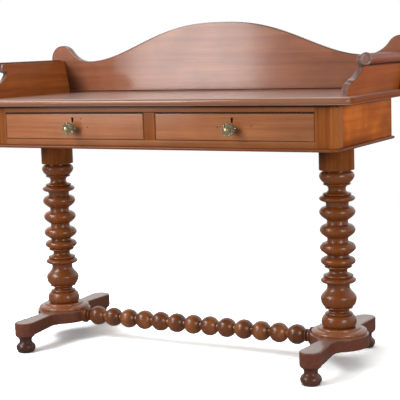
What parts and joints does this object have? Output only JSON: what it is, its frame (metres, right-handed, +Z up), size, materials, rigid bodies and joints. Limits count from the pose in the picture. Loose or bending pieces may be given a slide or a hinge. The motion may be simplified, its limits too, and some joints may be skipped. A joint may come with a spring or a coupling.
{
  "type": "washstand",
  "caption": "Timber washstand with a shaped back and side galleries, frieze drawers, ring-turned columns on footed platforms and a bobbin-turned stretcher.",
  "frame": {"origin": "centre of the bounding box, at the floor", "axes": "+X to the right seen from the front, -Y out of the drawer fronts, +Z up"},
  "size_m": [1.272, 0.508, 0.994],
  "materials": {
    "top_timber": "reddish-brown polished hardwood, glossy French polish",
    "panel_timber": "reddish-brown polished hardwood, glossy",
    "gallery_timber": "orange-brown polished hardwood, glossy",
    "end_timber": "orange-brown polished hardwood, glossy",
    "frieze_timber": "reddish-brown polished hardwood, glossy",
    "drawer_front_timber": "reddish-brown polished hardwood, glossy",
    "turned_timber": "dark red-brown turned hardwood, glossy",
    "base_timber": "dark red-brown polished hardwood, glossy",
    "drawer_lining": "pale unpolished drawer lining",
    "carcase_timber": "unpolished secondary timber",
    "pressed_glass": "greenish-grey pressed glass",
    "knob_bolt_metal": "pale brass, worn",
    "lock_brass": "aged brass",
    "steel": "dull steel"
  },
  "bodies": {
    "stand": {"top_board": "top_timber", "back_panel": "panel_timber", "panel_strip": "panel_timber", "gallery_left": "gallery_timber", "gallery_right": "gallery_timber", "gallery_roll_left": "gallery_timber", "gallery_roll_right": "gallery_timber", "panel_dowels": "carcase_timber", "top_screws": "steel", "top_rail": "frieze_timber", "bottom_rail": "frieze_timber", "divider": "frieze_timber", "corner_post_left": "frieze_timber", "corner_post_right": "frieze_timber", "end_panel_left": "end_timber", "end_panel_right": "end_timber", "frieze_back": "carcase_timber", "moulding_front": "frieze_timber", "moulding_left": "frieze_timber", "moulding_right": "frieze_timber", "bearer_left": "carcase_timber", "bearer_right": "carcase_timber", "centre_runner": "carcase_timber", "centre_guide": "carcase_timber", "guide_left": "carcase_timber", "guide_right": "carcase_timber", "kickers": "carcase_timber", "drawer_stops": "carcase_timber", "glue_blocks": "carcase_timber", "column_left": "turned_timber", "column_right": "turned_timber", "base_disc_left": "turned_timber", "base_disc_right": "turned_timber", "platform_left": "base_timber", "platform_right": "base_timber", "foot_front_left": "base_timber", "foot_front_right": "base_timber", "foot_back_left": "base_timber", "foot_back_right": "base_timber", "stretcher": "turned_timber"},
    "left_drawer": {"left_drawer_front": "drawer_front_timber", "left_drawer_side_outer": "drawer_lining", "left_drawer_side_inner": "drawer_lining", "left_drawer_back": "drawer_lining", "left_drawer_bottom": "drawer_lining", "left_knob": "pressed_glass", "left_knob_bolt": "knob_bolt_metal", "left_lock_case": "lock_brass", "left_lock_screws": "lock_brass"},
    "right_drawer": {"right_drawer_front": "drawer_front_timber", "right_drawer_side_outer": "drawer_lining", "right_drawer_side_inner": "drawer_lining", "right_drawer_back": "drawer_lining", "right_drawer_bottom": "drawer_lining", "right_knob": "pressed_glass", "right_knob_bolt": "knob_bolt_metal", "right_lock_case": "lock_brass", "right_lock_screws": "lock_brass"},
    "left_lock_tongue": {"left_lock_bolt": "steel"},
    "right_lock_tongue": {"right_lock_bolt": "steel"}
  },
  "joints": [
    {"name": "left_drawer_slide", "type": "slide", "parent": "stand", "child": "left_drawer", "axis": [0, -1, 0], "range_m": [0, 0.28]},
    {"name": "right_drawer_slide", "type": "slide", "parent": "stand", "child": "right_drawer", "axis": [0, -1, 0], "range_m": [0, 0.28]},
    {"name": "left_lock_throw", "type": "slide", "parent": "left_drawer", "child": "left_lock_tongue", "axis": [0, 0, 1], "range_m": [0, 0.007]},
    {"name": "right_lock_throw", "type": "slide", "parent": "right_drawer", "child": "right_lock_tongue", "axis": [0, 0, 1], "range_m": [0, 0.007]}
  ]
}
